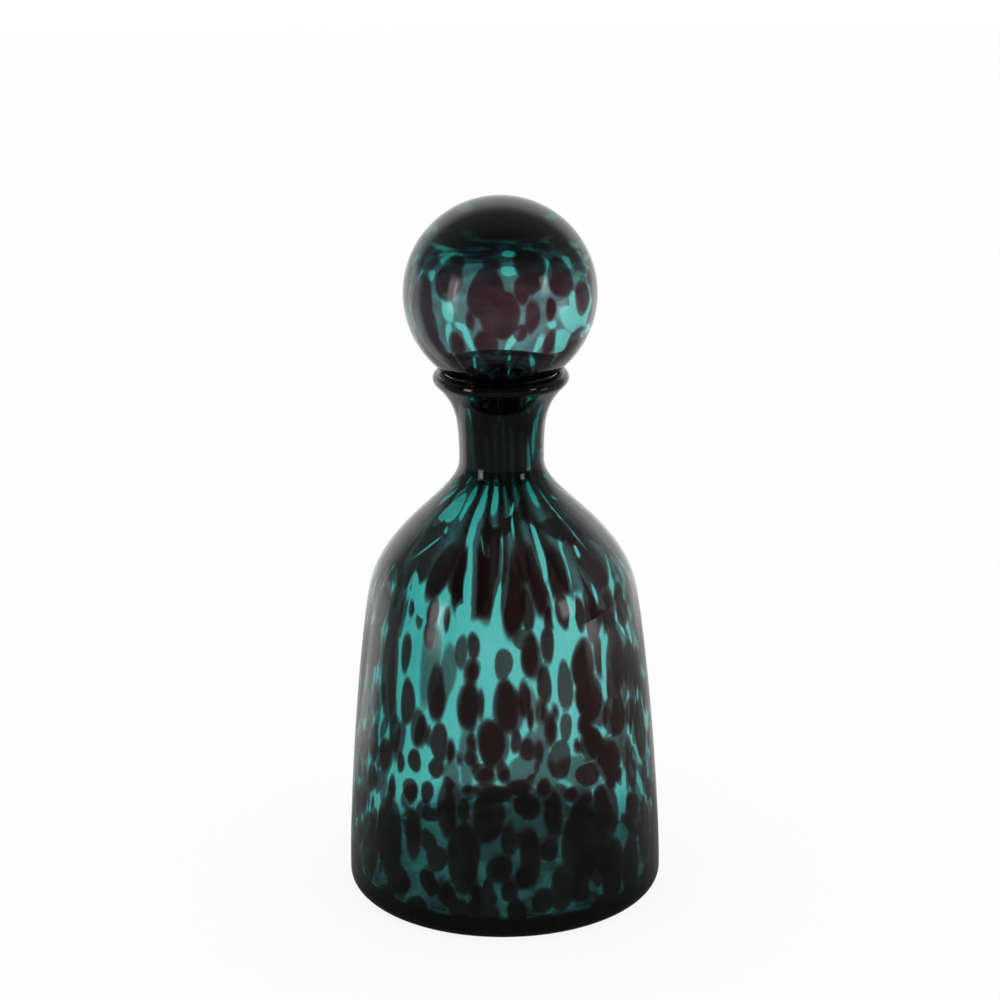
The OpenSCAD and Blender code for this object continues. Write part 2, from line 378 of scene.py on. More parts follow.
def far_patch(turn, height, half_w, half_l, drift, radius_of, seen_through):
    """The patch of the far wall that the camera sees through a patch of the near wall, from where it
    sees the near patch's middle, its two sides and its two ends."""
    wide = half_w / radius_of(height)
    (left, _), (right, _), (middle, _) = (seen_through(turn + wide * k, height) for k in (-1, 1, 0))
    lean = np.radians(drift) / 2
    (top, top_h), (low, low_h) = (seen_through(turn + lean * k, height + half_l * k) for k in (1, -1))
    across = np.abs(turned(right - left)) * radius_of((top_h + low_h) / 2) / 2
    lean = np.degrees(turned(top - low))
    across = np.clip(across, half_w * patch_least_share, half_w * patch_most_share)
    along_wall = np.abs(top_h - low_h) / 2 + patch_extra_mm
    lean = np.clip(lean, -patch_most_drift_deg, patch_most_drift_deg)
    return middle, (top_h + low_h) / 2, across, along_wall, lean


# What a chip's tone says of it: its edge's softness and its thickness, which is in chips of amethyst
# glass, on the near wall, and its thickness on the far wall, where all of them are as soft
near_tones, near_soft_mm, near_thick = (1, 1.5, 2), (0.9, 1.1, 1.4), (1.05, 1.5, 1.15)
far_tones, far_soft_mm, far_thick = (0, 0.5, 2), 2.0, (0.7, 1.3, 1.1)


def chip_rows(placed, radius_of, seen_through, low_mm):
    """Chips of the near and the far wall, from a list of those that show from the front: each with its
    turn, height, half width, half length, drift, softness and thickness. A dark one, of tone 2, lies
    on both walls, a lighter one, of 1 or 1.5, on the near wall only, and a soft one, of 0 or 0.5, on
    the far wall only. The far wall has chips only above the low height."""
    turn, height, width, length, tone = np.array(placed, float).T
    turn = np.radians(turn)
    half_w, half_l = width * rim_grow / 2, length * rim_grow / 2
    near = tone >= 1
    far = ((tone == 2) | (tone < 1)) & (height > low_mm)
    drift = np.zeros(len(turn))
    soft = np.interp(tone, near_tones, near_soft_mm)
    thick = np.interp(tone, near_tones, near_thick)
    front = np.stack([turn, height, half_w, half_l, drift, soft, thick], 1)[near]
    patch = far_patch(turn, height, half_w, half_l, drift, radius_of, seen_through)
    thick = np.interp(tone, far_tones, far_thick)
    back = np.stack([*patch, drift + far_soft_mm, thick], 1)[far]
    return np.concatenate([front, back])


def gap_rows(placed, radius_of, seen_through, soft_mm, grow_mm):
    """Clear gaps of the near wall, and then of the far wall, from a list of those that show from the
    front. The far ones are wider and longer by what they grow."""
    turn, height, width, length, drift = np.array(placed, float).T
    turn = np.radians(turn)
    front = np.stack([turn, height, width / 2, length / 2, drift], 1)
    half_w, half_l = (width + grow_mm) / 2, (length + grow_mm) / 2
    back = far_patch(turn, height, half_w, half_l, drift, radius_of, seen_through)
    rows = np.concatenate([front, np.stack(back, 1)])
    return np.concatenate([rows, rows[:, :2] * 0 + (soft_mm, 1)], 1)


# A scattered chip's width is multiplied by a spread, and its length by a lesser power of it
spread_from, spread_to, length_power = 0.75, 1.3, 0.6
scatter_soft_mm, scatter_thick = 1.2, (1.1, 1.6)


def scatter_chips(rng, tries, place_of, size_of, radius_of, placed, crowd):
    """Chips thrown at random where place_of says. Each is kept where it clears those already there: its
    distance from each, over the sum of their half sizes, is more than the crowd's share."""
    kept = placed
    for again in range(tries):
        turn, height = place_of(rng)
        half_w, half_l = size_of(height)
        spread = rng.uniform(spread_from, spread_to)
        half_w, half_l = half_w * spread, half_l * spread ** length_power
        chip = np.array([turn, height, half_w, half_l, 0, scatter_soft_mm, rng.choice(scatter_thick)])
        across = np.abs(turned(kept[:, 0] - turn)) * radius_of(height)
        gap = np.hypot(across / (kept[:, 2] + chip[2]), (kept[:, 1] - height) / (kept[:, 3] + chip[3]))
        if gap.min() > crowd:
            kept = np.concatenate([kept, chip[None]])
    return kept


# How much a chip's outline swells, and how far the swellings turn from one chip to the next; how far
# past a slanted chip's ends its slant goes on, and the most that a slant widens it
swell_share, swell_turns = 0.05, (2.4, 1.7)
slant_reach, slant_most = 1.5, 2


def chip_fields(levels, around, chips, radius_of, blunt=1):
    """For each point of a turned wall: how deep it lies in the chip that covers it most, in units of
    that chip's softness and negative outside, and that chip's thickness. A chip's outline is an
    ellipse whose reach swells and shrinks by a few percent two and three times round it; a gap's is
    blunter at its ends. A slanted one keeps its width square to its length."""
    turn = turns_round(around)
    best = np.full((len(levels), around), float(no_chip))
    thick = np.ones((len(levels), around))
    for number, (at, height, half_w, half_l, drift, soft, thickness) in enumerate(chips):
        slant = np.radians(drift) * radius_of(height) / (2 * half_l)
        half_w = half_w * np.minimum(np.hypot(1, slant), slant_most)
        up = ((levels - height) / half_l)[:, None]
        across = turn[None] - at - np.radians(drift) * np.clip(up, -slant_reach, slant_reach) / 2
        across = turned(across) * radius_of(height) / half_w
        bearing = np.arctan2(up, across)
        twice, thrice = (np.sin(k * bearing + number * step) for k, step in zip((2, 3), swell_turns))
        outline = 1 + swell_share * twice + swell_share * thrice
        depth = (1 - np.hypot(across, np.abs(up) ** blunt) / outline) * min(half_w, half_l) / soft
        closer = depth > best
        best = np.where(closer, depth, best)
        thick = np.where(closer, thickness, thick)
    return best, thick


glass_index = 1.5
# Each chip is placed a little larger than it shows, to make up for its soft edge, and a gap's far
# patch larger too. no_chip is a depth far outside any chip, and the underside has none past a distance
# in from the heel.
rim_grow, far_gap_mm, gap_soft_mm = 1.1, 2.0, 0.7
no_chip, bare_underside_mm = -9, -55
eye_mm = np.array([-camera_left_mm, -camera_back_mm, camera_up_mm])
around = 432
turn_at = turns_round(around)[None]

# Blown by hand, the hollow sits off centre in the upper body and ripples a little: how much, and the
# heights from which each comes in, is full, starts to go and is gone. The ripple is two waves that go
# round the hollow and climb it in opposite directions.
hollow_aside_mm, aside_at_mm = 1.3, (15, 100, 175, 196)
ripple_mm, ripple_at_mm = 0.14, (10, 30, 190, 200)
hollow = hollow[::-1]
up = hollow[:, 1:]
off_centre = np.interp(up, aside_at_mm, (0, hollow_aside_mm, hollow_aside_mm, 0))
ripple = np.interp(up, ripple_at_mm, (0, ripple_mm, ripple_mm, 0))
ripple = ripple * (np.sin(5 * turn_at + up / 9) + np.sin(8 * turn_at - up / 13 + 1))
hollow_grid = np.repeat(hollow[:, None], around, 1)
hollow_grid[..., 0] += off_centre * np.sin(turn_at) + ripple
rows = np.concatenate([np.repeat(outside[:, None], around, 1), hollow_grid])
bottle = turned_shell("bottle_glass_body", rows, (kick_mm, base_t_mm + floor_dome_mm), around)

# The rows that lie flat under the foot, and those that turn in over the lip
underside_rows, lip_top_rows = kick_rows + 2, 4
upright = outside[underside_rows:-lip_top_rows]


def bottle_radius(height):
    """Radius of the outside at a height, and of the underside at a distance in from the heel."""
    return np.interp(height, np.append(-foot_out[0], upright[:, 1]), np.append(0, upright[:, 0]))


# Chips as they show from the front, band by band down the bottle: the turn in degrees from the front,
# the height, width and length in mm, and the tone, which is 2 for dark, 1.5 or 1 for lighter and
# crisp, and 0.5 or 0 for a soft veil on the far wall, darker or fainter. Most were read by eye off the
# photograph as ovals in pixels, carried to the wall along the camera's rays by a converter outside this
# script, and rounded to halves. The others were placed straight in these units.
shoulder_chips = [
    (-63, 147, 12, 20, 2), (-52, 150, 10, 26, 2), (-42, 154, 4, 11, 1), (-37, 149, 4, 10, 1),
    (-33, 171, 12, 23, 2), (-31, 153, 6, 13, 1.5), (-31.5, 143, 5, 14, 1.5), (-24, 151, 3.5, 11, 1.5),
    (-20, 168, 8, 24, 2), (-9, 170, 12, 35, 2), (4, 162, 10, 35, 2), (16, 168, 9, 30, 2),
    (10.5, 156, 6, 20, 1.5), (19.5, 151, 5, 11, 1.5), (26, 154, 6.5, 17, 1.5), (34, 151, 6, 15, 1.5),
    (29, 172, 6, 22, 2), (40, 153, 7, 20, 2), (41, 165, 7, 18, 2), (46, 150, 7.5, 22, 2),
    (51, 148, 7, 22, 2), (60, 148, 11, 20, 2), (51.5, 152.5, 7.5, 20.5, 2),
    (40, 148, 8.5, 22, 1.5)]
belly_chips = [
    (-66, 128, 14, 22, 1.5), (-51.5, 121, 12, 46, 2), (-42.5, 132, 6, 18, 1.5),
    (-40, 109.5, 8, 22, 1.5), (-27, 117, 9, 24, 2), (-25, 128, 10, 24, 0), (-33, 134, 9, 44, 0),
    (-17, 137, 5.5, 16, 1), (-12, 140, 5.5, 13, 1.5), (-13, 129, 7, 11, 2), (-14, 113, 9, 23, 2),
    (-9, 114, 4, 14, 1.5), (0, 132.5, 8, 13.5, 1), (0.5, 113, 10.5, 25, 2), (3, 110, 6, 15, 2),
    (5, 114, 3, 14, 2), (8, 116, 5.5, 17, 1.5), (10.5, 136, 8, 20, 2), (8.5, 143, 9, 10, 1),
    (10, 107, 3, 12, 1.5), (14, 110, 4.5, 14, 2), (16, 122, 6.5, 17.5, 1.5), (18, 140, 6.5, 16, 1.5),
    (19.5, 109, 3, 9, 2), (24.5, 120, 7.5, 22, 1), (33, 128, 12, 23, 2), (35, 112, 14, 22, 2),
    (41, 131, 5.5, 20, 2), (51, 125, 13, 29, 2), (61, 117, 12, 27, 2), (24, 101, 6, 13, 1),
    (32, 100.5, 7.5, 11, 2), (47.5, 100.5, 15, 20, 2), (58, 98, 9, 14, 2), (-60, 104, 6, 16, 2),
    (8.5, 113.5, 6.5, 20.5, 0), (48, 115, 9.5, 18.5, 1.5)]
waist_chips = [
    (-59, 83.5, 8, 19, 2), (-46, 93, 7.5, 18, 2), (-34.5, 99, 8.5, 17, 2), (-29.5, 96, 3.5, 11, 1),
    (-25, 94, 9, 17, 1.5), (-20.5, 91, 4.5, 12, 2), (-17, 88, 3, 7, 2), (-12.5, 96.5, 4.5, 8.5, 2),
    (-12.5, 88.5, 5.5, 8.5, 2), (-5, 96.5, 12.5, 20.5, 2), (4.5, 96.5, 5, 11, 1.5),
    (8.5, 92.5, 7, 11, 2), (13, 91, 5, 11, 2), (17.5, 101, 5.5, 17, 2), (28, 91, 3.5, 7.5, 2),
    (21, 86, 11, 17, 1), (34.5, 90.5, 11, 16, 2), (42.5, 81, 14, 19, 2), (53.5, 79, 8, 17, 2),
    (65, 86, 12, 30, 2), (-51, 81, 9, 15, 2), (-42, 80, 4.5, 10.5, 1.5), (-35.5, 83, 7.5, 10.5, 1.5),
    (-26, 81.5, 8, 8.5, 1.5), (-8, 82, 10, 8.5, 2), (-0.5, 82.5, 6.5, 8.5, 2), (12, 83.5, 3, 4.5, 2),
    (32.5, 76.5, 13, 10.5, 1), (47, 71.5, 7, 6.5, 2), (-46, 66.5, 5, 13, 2), (-37, 68.5, 9, 10.5, 2),
    (-29.5, 69.5, 6.5, 10.5, 1.5), (-21, 75, 6, 7, 2), (-13.5, 73.5, 5.5, 4.5, 2), (5, 75, 12, 8, 2),
    (10, 79, 4, 4, 2), (14.5, 74, 7, 8.5, 2), (25, 69, 6.5, 7, 2), (56, 68, 8, 14, 2),
    (-59, 66, 9, 14, 2), (38, 66, 9, 8, 2), (0, 71, 7, 5, 2), (-6, 73, 5, 4, 2), (9.5, 85, 19, 16, 0),
    (28, 80, 22, 12, 0), (-15.5, 82.5, 5.5, 19, 0), (-15.5, 72, 10.5, 9.5, 0.5), (20, 72, 10, 9, 0.5),
    (8, 73, 12, 9, 0.5), (-1.5, 73, 9, 8, 0.5), (14, 66, 14, 8, 0.5), (28, 70, 12, 10, 0.5),
    (-14.5, 92, 8, 21, 0), (10.5, 90.5, 13.5, 23, 0), (13.5, 101, 8, 6.5, 0), (28.5, 80.5, 8, 12.5, 0),
    (4.5, 82, 8, 12, 0), (17, 81, 8, 12, 0), (-21, 82, 8, 12, 0), (-6, 74, 15, 6, 2),
    (43, 70, 8, 7, 2)]
foot_chips = [
    (-47, 42, 16, 40, 2), (-35, 47.5, 9, 23.5, 2), (-37, 58, 7, 4, 2), (-21.5, 62.5, 9, 27, 2),
    (-15, 40.5, 15, 32, 2), (-6, 60.5, 13.5, 24, 2), (1.5, 50, 7.5, 14.5, 2), (-2, 36, 11.5, 12.5, 2),
    (9, 41, 9, 30, 2), (20.5, 24, 11, 21, 2), (30, 45.5, 21, 41, 2), (18, 60, 8.5, 23, 2),
    (42, 27, 14, 30, 2), (-42, 23, 14, 15, 2), (-21, 21, 9, 11, 2), (-25, 38.5, 10, 12, 1),
    (-29, 46.5, 6, 10, 1), (6.5, 31.5, 7.5, 11, 1.5), (41, 54.5, 12.5, 24, 2),
    (-16.5, 14.5, 10.5, 11, 2), (13.5, 19.5, 10.5, 12, 2), (27.5, 20.5, 9.5, 10, 2),
    (52, 23, 13, 30, 2), (-59, 31.5, 14, 35, 2), (8, 66, 12, 9, 1.5), (-33, 12, 12, 10, 2),
    (-6, 13, 10, 12, 2), (4, 14, 9, 14, 1.5), (-27, 24, 7, 10, 1.5), (12, 8, 12, 8, 2),
    (24, 8, 10, 7, 1.5), (-22, 8, 10, 6, 2), (-10, 24, 6, 8, 1.5), (-48, 12, 12, 10, 2),
    (50, 9, 12, 8, 2), (-6, 28, 5, 6, 1), (36, 12, 10, 8, 2), (55, 48, 12, 22, 2), (63, 36, 12, 30, 2),
    (-65, 58, 8, 22, 2), (-28, 45, 8, 9, 1), (-25, 38.5, 8.5, 10, 1), (-29, 27, 8, 9.5, 1),
    (-9.5, 16.5, 10.5, 9, 1), (16, 44, 8, 11.5, 1), (35, 27, 7, 12, 1), (1.5, 25, 7.5, 9, 1),
    (-6, 22, 7.5, 10, 1), (-15, 63.5, 5.5, 10.5, 1), (9.5, 63, 8.5, 7.5, 1), (-28, 59, 9.5, 6.5, 1),
    (4.5, 50, 6.5, 6.5, 1), (27.5, 24.5, 8.5, 9, 1)]
# The thick base hides the far wall's chips
no_far_below_mm = 48
front_chips = shoulder_chips + belly_chips + waist_chips + foot_chips
placed_chips = chip_rows(front_chips, bottle_radius, seen_through_bottle, no_far_below_mm)

# Where the front doesn't show the wall, chips are scattered: between two heights, from one turn to
# another on either side, or right round to the back near the foot; and on the heel and the underside
side_low_mm, side_high_mm, all_round_below_mm = 6, 184, 14
side_from_deg, side_to_deg, all_round_deg = 64, 116, 180
under_from_mm, heel_to_mm = -50, 8
# The half width and the half length of a scattered chip at each height: big at the base, small at the
# belly and long up the side
chip_at_mm = (5, 30, 55, 75, 110, 160, 200)
chip_half_w_mm, chip_half_l_mm = (5, 5, 4, 3.6, 3.4, 3.6, 3), (6, 8, 6, 6, 10, 14, 18)


def side_place(rng):
    """A place out of the front's view on either side."""
    height = rng.uniform(side_low_mm, side_high_mm)
    reach_deg = all_round_deg if height < all_round_below_mm else side_to_deg
    return rng.choice([-1, 1]) * math.radians(rng.uniform(side_from_deg, reach_deg)), height


def heel_place(rng):
    """A place on the heel or the underside, all round."""
    return rng.uniform(-math.pi, math.pi), rng.uniform(under_from_mm, heel_to_mm)


def bottle_chip_size(height):
    """Half width and half length of a scattered chip at a height."""
    return np.interp(height, chip_at_mm, chip_half_w_mm), np.interp(height, chip_at_mm, chip_half_l_mm)


rng = np.random.default_rng(7)
side_tries, heel_tries, crowd = 3200, 1200, 0.8
chips = scatter_chips(rng, side_tries, side_place, bottle_chip_size, bottle_radius, placed_chips, crowd)
chips = scatter_chips(rng, heel_tries, heel_place, bottle_chip_size, bottle_radius, chips, crowd)
levels = np.where(np.arange(len(outside)) < underside_rows, outside[:, 0] - foot_out[0], outside[:, 1])
edge, thick = chip_fields(levels, around, chips, bottle_radius)

# Up the shoulder and neck the chips are drawn into streaks that run together, and leave narrow clear
# gaps. Each gap is placed as the chips are, and has the degrees that it drifts by over its length.
clear_gaps = [
    (-65, 163, 1.5, 5, 0), (-52, 188.5, 4, 8, 2.5), (-46.5, 177.5, 1, 9, 11),
    (-46.5, 153.5, 1.5, 22, -2), (-45.5, 193.5, 7, 11, -1.5), (-41, 183.5, 1.5, 3, -1),
    (-41, 158, 4.5, 16, -11), (-34, 192, 2, 6, 1), (-32.5, 197.5, 2.5, 7.5, 2.5),
    (-21.5, 187, 3, 13, -1), (-19, 196, 3, 11, 1.5), (-17, 203, 1.5, 2.5, 0),
    (-18, 175.5, 2, 12.5, -4), (-16.5, 165, 3.5, 14, -2), (-17, 154, 7, 12, 0),
    (-12.5, 181, 0.5, 4, -2.5), (-7, 197, 2.5, 9.5, 1), (-7, 203.5, 2, 3, 0), (-3, 158, 3.5, 20, 2),
    (-1, 175, 1.5, 17, 1.5), (7.5, 189, 1, 7.5, 0), (8.5, 193, 1, 4.5, 4), (21.5, 156.5, 1.5, 19, 0),
    (22, 180.5, 2.5, 17, 1), (22, 172.5, 2, 11, 2.5), (30, 150, 2.5, 8.5, 3),
    (31.5, 156.5, 2.5, 8.5, 1), (33.5, 169, 1.5, 17.5, 4.5), (33.5, 199, 2.5, 9, -1.5),
    (37, 179.5, 1.5, 4, 3), (44.5, 157.5, 1.5, 6.5, 0), (45, 175, 2, 4, 1), (48, 190, 1, 20, -6.5),
    (55, 146, 1.5, 10, 2), (57.5, 197, 1.5, 7, -4), (68, 157.5, 4, 15, 8.5), (-61, 197, 2.5, 6, 3.5),
    (-46.5, 200, 1.5, 8, 6.5), (80, 197, 2, 13, -26), (63, 207.5, 1, 9, -8), (-34, 246, 9, 7, 4.5),
    (-38, 239, 1.5, 11, 4), (31.5, 244.5, 9, 9, -7), (30.5, 239, 2, 5, -1), (-3, 241, 1, 10, 0),
    (49, 236, 1.5, 17, -5), (46.5, 223, 2, 15, 0), (39.5, 212.5, 1.5, 18, -6),
    (43.5, 126.5, 2, 31.5, 3)]
# and those of the far side that show through them by way of a mirrored turn in the neck's thick glass
back_gaps = [
    (-147, 238, 12, 16, 0), (147, 238, 12, 16, 0), (-150, 220, 5, 40, 3), (150, 220, 6, 44, -3),
    (166, 225, 3, 30, 2), (-147, 229, 10, 7, 0), (-105, 231, 15, 6, 0), (-82, 233.5, 6, 7, 0),
    (107, 231.5, 13, 7, 0), (92, 225.5, 8, 22, 13), (75, 211, 8, 11, -8), (-170, 232.5, 7, 6, 0),
    (-162, 178, 6, 34, 2), (-145, 188, 7, 22, 8), (-138.5, 183, 10, 20, 10), (143.5, 194.5, 9, 12, -8),
    (133, 186, 8, 24, -20), (-174.5, 186.5, 5, 18, 0), (-130, 245.5, 24, 4, 0), (130, 245.5, 24, 4, 0),
    (180, 246, 18, 4, 0)]
# and a few loose ones on the sides and the back: the spans of their turn in radians, height, half
# width, half length and drift. All gaps are blunter at their ends than a chip, and longer for it.
gap_blunt, blunt_grow = 1.3, 1.15
loose_count = 40
loose_spans = ((1.2, 5.2), (152, 244), (0.6, 1.8), (4, 14), (-4, 4))
loose = [rng.uniform(low, high, loose_count) for low, high in loose_spans]
loose = np.stack([*loose, np.full(loose_count, gap_soft_mm), np.ones(loose_count)], 1)
at_back = np.array([(math.radians(at), height, width / 2, length / 2, drift, gap_soft_mm, 1)
                    for at, height, width, length, drift in back_gaps])
gaps = gap_rows(clear_gaps, bottle_radius, seen_through_bottle, gap_soft_mm, far_gap_mm)
gaps = np.concatenate([gaps, at_back, loose]) * (1, 1, 1, blunt_grow, 1, 1, 1)
clear = chip_fields(levels, around, gaps, bottle_radius, gap_blunt)[0]
# The streaks start at a ragged edge round the shoulder, and are thick and thin in threads that waver
# as they climb
streaks_from_mm, streaks_soft_mm, streak_thick, thread_thick = 160, 3, 1.3, 0.6
ragged_mm = 5 * np.sin(7 * turn_at) + 4 * np.sin(11 * turn_at + 1)
streaks = (levels[:, None] - streaks_from_mm - ragged_mm) / streaks_soft_mm
threads = np.sin(23 * turn_at + 3 * np.sin(4 * turn_at) + levels[:, None] / 23)
thick = np.where(streaks > edge, streak_thick + thread_thick * threads, thick)
edge = np.minimum(np.maximum(edge, streaks), -clear)
edge[levels < bare_underside_mm] = no_chip


def put_field(piece, name, field, hollow_value, poles):
    """Stores a number for each point of a turned shell: those of the rows given, the same one for all
    the rows after them, and those of its two poles."""
    attribute = piece.data.attributes.new(name, "FLOAT", "POINT")
    hollow_values = np.full(len(attribute.data) - field.size - len(poles), hollow_value)
    values = np.concatenate([field.ravel(), hollow_values, poles])
    attribute.data.foreach_set("value", values.astype(np.float32))


ground_edge_mm = 0.1


def ground_rows(rows):
    """1 for the points of the tapered joint, which are ground with emery, and 0 for all the others."""
    radius, height = rows[..., 0], rows[..., 1]
    in_joint = (height > joint_end[1] - ground_edge_mm) & (height < joint_top[1] + ground_edge_mm)
    return (in_joint & (radius < joint_top[0] + ground_edge_mm)) * 1.0


put_field(bottle, "chip_edge", edge, no_chip, [no_chip, no_chip])
put_field(bottle, "chip_thickness", thick, 1, [1, 1])
put_field(bottle, "ground_glass", ground_rows(rows), 0, [0, 0])

# Teal soda glass: clear and fire polished, with copper colour all through its thickness. Deep glass,
# such as the base and the neck, looks near black, and a thin wall is bright teal. A chip of amethyst
# glass lets a purplish brown third of the light through, and two of them look dark brown.
emery_roughness = 0.4
teal_through_mm = 10
chip_fades_from, chip_full_at = -0.3, 1.0


def spotted_glass(name, teal_code, chip_code):
    """Clear teal glass whose outside carries chips of dark amethyst glass. The teal is given as white
    light shows through 10 mm of it, and absorption's density is twice its strongest, so that each
    colour's share of it is within reach. A chip tints the light by its colour to the power of its
    thickness, faded in over its soft edge, and the shader tints by a colour's square root."""
    glass = bpy.data.materials.new(name)
    tree = empty_tree(glass)
    edge = add(tree, "ShaderNodeAttribute", attribute_name="chip_edge").outputs["Fac"]
    thickness = add(tree, "ShaderNodeAttribute", attribute_name="chip_thickness").outputs["Fac"]
    ground = add(tree, "ShaderNodeAttribute", attribute_name="ground_glass").outputs["Fac"]
    amount = add(tree, "ShaderNodeMapRange", edge, chip_fades_from, chip_full_at, 0, 1, **smooth)
    amount = add(tree, "ShaderNodeMath", amount, thickness, operation="MULTIPLY")
    frosted = add(tree, "ShaderNodeMath", ground, emery_roughness, operation="MULTIPLY")
    both_sides = [share ** 2 for share in hex_colour(chip_code)]
    tint = add(tree, "ShaderNodeGamma", both_sides, amount)
    surface = add(tree, "ShaderNodeBsdfPrincipled", named={
        "Base Color": tint, "Roughness": frosted, "IOR": glass_index, "Transmission Weight": 1.0})
    teal_per_m = -np.log(hex_colour(teal_code)[:3]) / (teal_through_mm * MM)
    density = 2 * float(max(teal_per_m))
    absorbed = (*(1 - teal_per_m / density).tolist(), 1)
    absorb = add(tree, "ShaderNodeVolumeAbsorption", absorbed, density)
    add(tree, "ShaderNodeOutputMaterial", surface, absorb)
    return glass


bottle.data.materials.append(spotted_glass("spotted_teal_blown_glass", "#4bafaa", "#a36365"))
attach(bottle, "bottle")
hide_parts("bottle")

# Stopper: a hollow ball blown from the same glass and chips, on a hollow plug that is ground to the
# neck with emery. The plug's bore is where the blowpipe was.
ball_r_mm, ball_wall_mm, ball_crown_mm, ball_gap_mm = 44.5, 4.2, 13.5, 0.3
plug_fillet_r_mm, plug_tail_mm, plug_end_r_mm = 2, 4, 1.2
plug_bore_r_mm, bore_mouth_r_mm, joint_gap_mm = 6.5, 3, 0.08
ball_h_mm = lip_at[1] + math.sqrt((ball_r_mm + lip_r_mm + ball_gap_mm) ** 2 - lip_at[0] ** 2)
plug_top = joint_top - (joint_gap_mm, 0)
plug_low = joint_end - (joint_gap_mm, 0)
plug_end_h_mm = joint_end[1] - plug_tail_mm
plug_end_at_mm = plug_end_h_mm + plug_end_r_mm


def blend_circle(side_r, round_r, blend_r):
    """The centre of a small circle that touches an upright side and the ball or its hollow, both from
    outside, and the turn from the foot of the round to where they touch: its sine is how far out the
    centre lies, over the sum of the two radii."""
    x, reach = side_r + blend_r, round_r + blend_r
    touch = math.asin(x / reach)
    return (x, ball_h_mm - reach * math.cos(touch)), math.degrees(touch)


fillet_at, fillet_deg = blend_circle(plug_top[0], ball_r_mm, plug_fillet_r_mm)
hollow_r_mm = ball_r_mm - ball_wall_mm
hollow_rise_mm = ball_r_mm - ball_crown_mm
mouth_at, mouth_deg = blend_circle(plug_bore_r_mm, hollow_r_mm, bore_mouth_r_mm)
crown_rows, bowl_rows, bore_mouth_rows = 34, 30, 6
ball_hollow = np.concatenate([
    arc((0, 0), 1, 90, 0, crown_rows)[1:] * (hollow_r_mm, hollow_rise_mm) + (0, ball_h_mm),
    arc((0, ball_h_mm), hollow_r_mm, 0, mouth_deg - 90, bowl_rows),
    arc(mouth_at, bore_mouth_r_mm, 90 + mouth_deg, 180, bore_mouth_rows),
])
plug_end_rows, fillet_rows, ball_rows = 4, 6, 138
ball_outside = np.concatenate([
    arc((plug_bore_r_mm + plug_end_r_mm, plug_end_at_mm), plug_end_r_mm, -180, -90, plug_end_rows),
    arc((plug_low[0] - plug_end_r_mm, plug_end_at_mm), plug_end_r_mm, -90, 0, plug_end_rows),
    [plug_low, (plug_low + plug_top) / 2, plug_top],
    arc(fillet_at, plug_fillet_r_mm, 180, 90 + fillet_deg, fillet_rows),
    arc((0, ball_h_mm), ball_r_mm, fillet_deg - 90, 90, ball_rows)[:-1],
])
# The ball's hollow too sits off centre and ripples, from a little above the plug's fillet upwards
ball_aside_mm, ball_ripple_mm, ball_ease_mm = 0.7, 0.1, 15
out, up = ball_hollow[:, :1] / hollow_r_mm, ball_hollow[:, 1:]
in_ball = np.interp(up, (fillet_at[1], fillet_at[1] + ball_ease_mm), (0, 1))
ripple = ball_ripple_mm * np.sin(4 * turn_at + up / 7)
ball_grid = np.repeat(ball_hollow[:, None], around, 1)
ball_grid[..., 0] += in_ball * out * (ball_aside_mm * np.sin(turn_at) + ripple)
stopper_rows = np.concatenate([np.repeat(ball_outside[::-1, None], around, 1), ball_grid[::-1]])
ball_poles = (ball_h_mm + ball_r_mm, ball_h_mm + hollow_rise_mm)
stopper = turned_shell("stopper_glass_ball", stopper_rows, ball_poles, around)


def ball_radius(height):
    """Radius of the ball, or of the plug below it."""
    return np.sqrt(np.maximum(ball_r_mm ** 2 - (height - ball_h_mm) ** 2, plug_top[0] ** 2))


def refract(ray, normal, ratio):
    """Snell's law: the ray's part along the surface shrinks by the ratio of the indices, and the rest
    of its length goes on through the surface."""
    into = (ray * normal).sum(1)[:, None]
    level = (ray - into * normal) * ratio
    return level + np.sign(into) * np.sqrt(np.maximum(1 - (level ** 2).sum(1)[:, None], 0)) * normal


def meet_oval(point, ray, radii, last):
    """Where a ray first or last meets an oval round the ball's centre, the oval's normal there, and
    whether it meets it: the oval is a unit sphere once each direction is divided by its radius."""
    start, way = point / radii, ray / radii
    a, b, c = (way ** 2).sum(1), (start * way).sum(1), (start ** 2).sum(1) - 1
    root = np.sqrt(np.maximum(b ** 2 - a * c, 0))
    met = point + ray * ((-b + (root if last else -root)) / a)[:, None]
    normal = met / radii ** 2
    return met, normal / np.linalg.norm(normal, axis=1)[:, None], (b ** 2 > a * c)[:, None]


def seen_through_ball(turn, height):
    """Where the camera sees the far side of the ball through a point of its near side: the camera's ray
    is followed through the near wall, the hollow, which is flattened in its upper half, and the far
    wall."""
    near = ball_radius(height)
    point = np.stack([near * np.sin(turn), -near * np.cos(turn), height - ball_h_mm], -1)
    ray = point - (eye_mm - (0, 0, ball_h_mm))
    ray /= np.linalg.norm(ray, axis=1)[:, None]
    ray = refract(ray, point / ball_r_mm, 1 / glass_index)
    flattened = np.array([hollow_r_mm, hollow_r_mm, hollow_rise_mm])
    for last, ratio in ((False, glass_index), (True, 1 / glass_index)):
        top, top_normal, top_met = meet_oval(point, ray, flattened, last)
        low, low_normal, low_met = meet_oval(point, ray, np.full(3, hollow_r_mm), last)
        upper = top[:, 2:] > 0
        met = np.where(upper, top_met, low_met)
        point = np.where(met, np.where(upper, top, low), point)
        ray = np.where(met, refract(ray, np.where(upper, top_normal, low_normal), ratio), ray)
    point = meet_oval(point, ray, np.full(3, ball_r_mm), True)[0]
    return np.arctan2(point[:, 0], -point[:, 1]), point[:, 2] + ball_h_mm


